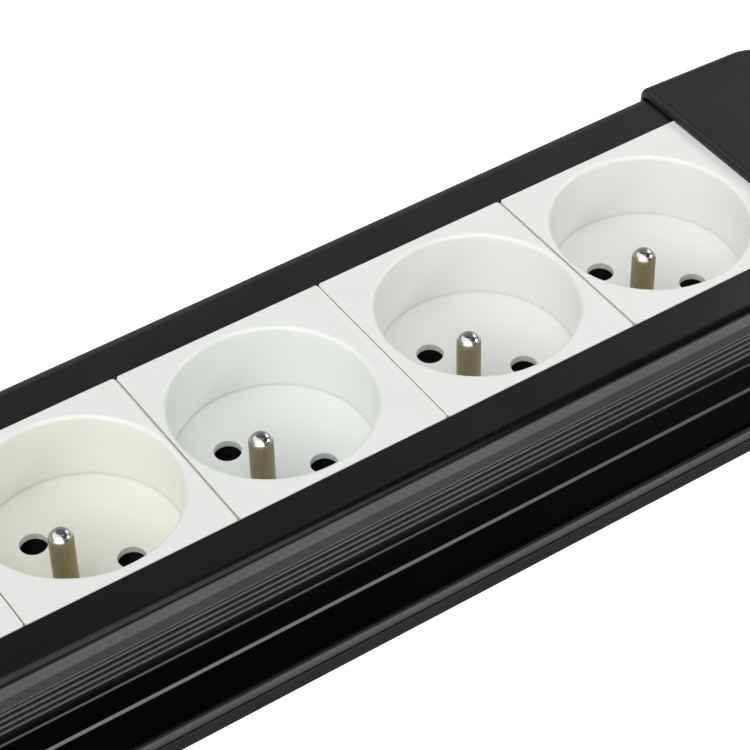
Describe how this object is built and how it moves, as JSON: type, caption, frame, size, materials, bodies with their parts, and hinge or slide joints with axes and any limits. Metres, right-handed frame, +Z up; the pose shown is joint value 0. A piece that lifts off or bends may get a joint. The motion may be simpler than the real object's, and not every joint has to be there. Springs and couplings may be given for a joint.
{
  "type": "desk power strip",
  "caption": "Aluminium power strip with round recessed French-type sockets on twin modules, spring-loaded safety shutters, plastic end caps and a cord gland.",
  "frame": {"origin": "middle of the flat base, under the middle of the socket modules", "axes": "+X along the strip towards the end without the cord, +Y across it towards the back, +Z up out of the sockets"},
  "size_m": [0.3522, 0.0684, 0.0426],
  "materials": {
    "black_anodised": "black anodised, satin",
    "cap_plastic": "moulded, fine satin",
    "face_plastic": "moulded, semi-gloss white",
    "carrier_plastic": "moulded",
    "tray_plastic": "moulded",
    "shutter_plastic": "moulded black",
    "nickel_plated": "nickel plated, satin",
    "spring_steel": "drawn wire",
    "screw_steel": "zinc plated",
    "brass": "rolled strip",
    "terminal_plastic": "moulded",
    "gland_nylon": "moulded",
    "gland_rubber": "moulded"
  },
  "bodies": {
    "strip": {"aluminium_profile": "black_anodised", "end_cap_far": "cap_plastic", "end_cap_near": "cap_plastic", "end_cap_screws": "screw_steel", "socket_face_1": "face_plastic", "socket_face_2": "face_plastic", "socket_face_3": "face_plastic", "shutter_carrier_1": "carrier_plastic", "shutter_carrier_2": "carrier_plastic", "shutter_carrier_3": "carrier_plastic", "contact_tray_1": "tray_plastic", "contact_tray_2": "tray_plastic", "contact_tray_3": "tray_plastic", "module_screws": "screw_steel", "earth_pin_1": "nickel_plated", "earth_pin_2": "nickel_plated", "earth_pin_3": "nickel_plated", "earth_pin_4": "nickel_plated", "earth_pin_5": "nickel_plated", "earth_pin_6": "nickel_plated", "shutter_spring_1": "spring_steel", "shutter_spring_2": "spring_steel", "shutter_spring_3": "spring_steel", "shutter_spring_4": "spring_steel", "shutter_spring_5": "spring_steel", "shutter_spring_6": "spring_steel", "live_busbar": "brass", "neutral_busbar": "brass", "earth_busbar": "brass", "terminal_block": "terminal_plastic", "terminal_screws": "screw_steel", "earth_bond_strap": "brass", "earth_bond_screw": "screw_steel", "gland_body": "gland_nylon", "gland_locknut": "gland_nylon", "gland_seal": "gland_rubber", "gland_nut": "gland_nylon"},
    "shutter_1": {"shutter_1": "shutter_plastic"},
    "shutter_2": {"shutter_2": "shutter_plastic"},
    "shutter_3": {"shutter_3": "shutter_plastic"},
    "shutter_4": {"shutter_4": "shutter_plastic"},
    "shutter_5": {"shutter_5": "shutter_plastic"},
    "shutter_6": {"shutter_6": "shutter_plastic"}
  },
  "joints": [
    {"name": "shutter_slide_1", "type": "slide", "parent": "strip", "child": "shutter_1", "axis": [0.7071, 0.7071, 0], "range_m": [0, 0.0065], "stiffness_N_per_m": 60, "springref_m": -0.004, "deforming": ["shutter_spring_1"]},
    {"name": "shutter_slide_2", "type": "slide", "parent": "strip", "child": "shutter_2", "axis": [0.7071, 0.7071, 0], "range_m": [0, 0.0065], "stiffness_N_per_m": 60, "springref_m": -0.004, "deforming": ["shutter_spring_2"]},
    {"name": "shutter_slide_3", "type": "slide", "parent": "strip", "child": "shutter_3", "axis": [0.7071, 0.7071, 0], "range_m": [0, 0.0065], "stiffness_N_per_m": 60, "springref_m": -0.004, "deforming": ["shutter_spring_3"]},
    {"name": "shutter_slide_4", "type": "slide", "parent": "strip", "child": "shutter_4", "axis": [0.7071, 0.7071, 0], "range_m": [0, 0.0065], "stiffness_N_per_m": 60, "springref_m": -0.004, "deforming": ["shutter_spring_4"]},
    {"name": "shutter_slide_5", "type": "slide", "parent": "strip", "child": "shutter_5", "axis": [0.7071, 0.7071, 0], "range_m": [0, 0.0065], "stiffness_N_per_m": 60, "springref_m": -0.004, "deforming": ["shutter_spring_5"]},
    {"name": "shutter_slide_6", "type": "slide", "parent": "strip", "child": "shutter_6", "axis": [0.7071, 0.7071, 0], "range_m": [0, 0.0065], "stiffness_N_per_m": 60, "springref_m": -0.004, "deforming": ["shutter_spring_6"]}
  ]
}
